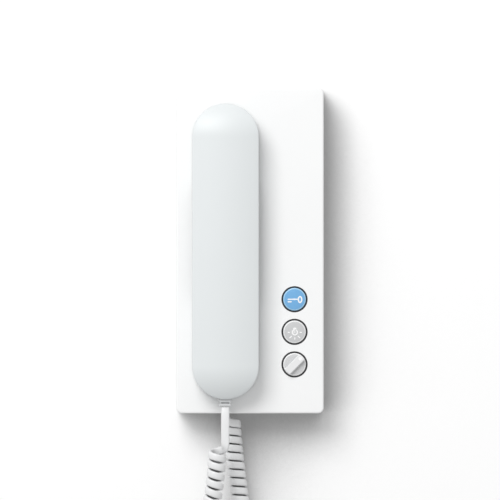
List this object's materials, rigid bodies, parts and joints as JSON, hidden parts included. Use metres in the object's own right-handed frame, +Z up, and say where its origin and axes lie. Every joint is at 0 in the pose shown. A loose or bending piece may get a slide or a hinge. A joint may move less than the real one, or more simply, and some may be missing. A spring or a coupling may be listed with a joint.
{
  "type": "audio intercom handset",
  "caption": "Wall-mounted audio door station: white box with a corded handset in a cradle, door and light keys, a volume knob and a curly cord.",
  "frame": {"origin": "centre of the station's back face, on the wall", "axes": "+X to the right seen from the front, +Y into the wall, +Z up"},
  "size_m": [0.091, 0.046, 0.3221],
  "materials": {
    "cover": "fine satin, moulded",
    "handset": "fine satin, moulded",
    "plate": "moulded",
    "collar": "satin",
    "door_blue": "satin gloss",
    "light_grey": "satin gloss",
    "knob_grey": "satin",
    "board": "solder mask",
    "dark_plastic": "moulded",
    "terminal": "moulded",
    "steel": "bright zinc",
    "speaker_can": "matt",
    "capsule": "satin",
    "soft_rubber": "matt",
    "plug": "clear plastic, milky",
    "cord": "soft sheath, satin"
  },
  "bodies": {
    "station": {"wall_plate": "plate", "front_cover": "cover", "key_frame": "collar", "circuit_board": "board", "terminal_block": "terminal", "terminal_screws": "steel", "call_sounder": "speaker_can", "hook_switch": "dark_plastic", "door_switch": "dark_plastic", "light_switch": "dark_plastic", "volume_potentiometer": "dark_plastic", "board_screws": "steel", "frame_screws": "steel", "cord_jack": "dark_plastic", "base_plug": "plug", "cord_coil": "cord"},
    "handset": {"handset_shell": "handset", "handset_back": "handset", "receiver_capsule": "capsule", "receiver_gasket": "soft_rubber", "microphone": "capsule", "microphone_boot": "soft_rubber", "ballast_weight": "steel", "handset_jack": "dark_plastic", "handset_screws": "steel", "handset_plug": "plug", "cord_tail": "cord"},
    "hook": {"hook_plunger": "knob_grey"},
    "door_key": {"door_button": "door_blue", "door_switch_stem": "dark_plastic"},
    "light_key": {"light_button": "light_grey", "light_switch_stem": "dark_plastic"},
    "volume": {"volume_knob": "knob_grey", "volume_shaft": "steel"}
  },
  "joints": [
    {"name": "handset_lift", "type": "slide", "parent": "station", "child": "handset", "axis": [0, -0.866, 0.5], "range_m": [0, 0.06]},
    {"name": "hook_rise", "type": "slide", "parent": "station", "child": "hook", "axis": [0, -1, 0], "range_m": [0, 0.003]},
    {"name": "door_button_press", "type": "slide", "parent": "station", "child": "door_key", "axis": [0, 1, 0], "range_m": [0, 0.0012], "stiffness_N_per_m": 1250},
    {"name": "light_button_press", "type": "slide", "parent": "station", "child": "light_key", "axis": [0, 1, 0], "range_m": [0, 0.0012], "stiffness_N_per_m": 1250},
    {"name": "volume_turn", "type": "hinge", "parent": "station", "child": "volume", "pos_m": [0.0275, -0.02, -0.0703], "axis": [0, -1, 0], "range_deg": [-90, 180]}
  ],
  "couplings": [
    {"joint": "hook_rise", "follows": "handset_lift", "ratio": 0.05}
  ]
}
